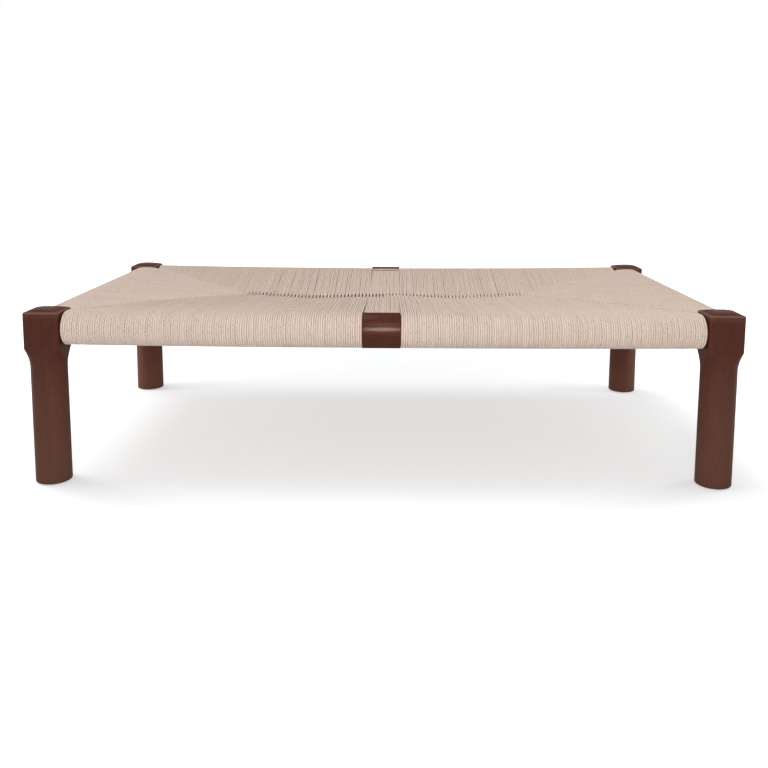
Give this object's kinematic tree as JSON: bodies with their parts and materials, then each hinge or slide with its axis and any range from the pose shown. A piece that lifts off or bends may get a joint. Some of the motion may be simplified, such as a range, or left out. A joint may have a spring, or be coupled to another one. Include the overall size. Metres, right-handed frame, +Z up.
{
  "type": "low coffee table with woven paper cord top",
  "caption": "Low rectangular coffee table or bench: turned dark wood legs with square heads, half-round rails wrapped in natural paper cord woven in an envelope pattern.",
  "frame": {"origin": "on the floor, at the middle of the table", "axes": "+X along the length of the table, +Y from its front to its back, +Z up"},
  "size_m": [1.524, 0.813, 0.387],
  "materials": {
    "stained_wood": "satin walnut-brown stain",
    "paper_cord": "natural twisted paper cord",
    "glide_nylon": "matt",
    "steel": "bare"
  },
  "bodies": {
    "root": {"front_left_leg": "stained_wood", "front_left_glide": "glide_nylon", "front_right_leg": "stained_wood", "front_right_glide": "glide_nylon", "back_right_leg": "stained_wood", "back_right_glide": "glide_nylon", "back_left_leg": "stained_wood", "back_left_glide": "glide_nylon", "front_rail": "stained_wood", "front_left_weave": "paper_cord", "front_right_weave": "paper_cord", "front_center_weave": "paper_cord", "front_center_cap": "stained_wood", "front_edge_cord": "paper_cord", "front_cap_screw_left": "steel", "front_cord_tack_left": "steel", "front_cap_screw_right": "steel", "front_cord_tack_right": "steel", "back_rail": "stained_wood", "back_left_weave": "paper_cord", "back_right_weave": "paper_cord", "back_center_weave": "paper_cord", "back_center_cap": "stained_wood", "back_edge_cord": "paper_cord", "back_cap_screw_left": "steel", "back_cord_tack_left": "steel", "back_cap_screw_right": "steel", "back_cord_tack_right": "steel", "left_rail": "stained_wood", "left_weave": "paper_cord", "right_rail": "stained_wood", "right_weave": "paper_cord"}
  },
  "joints": []
}
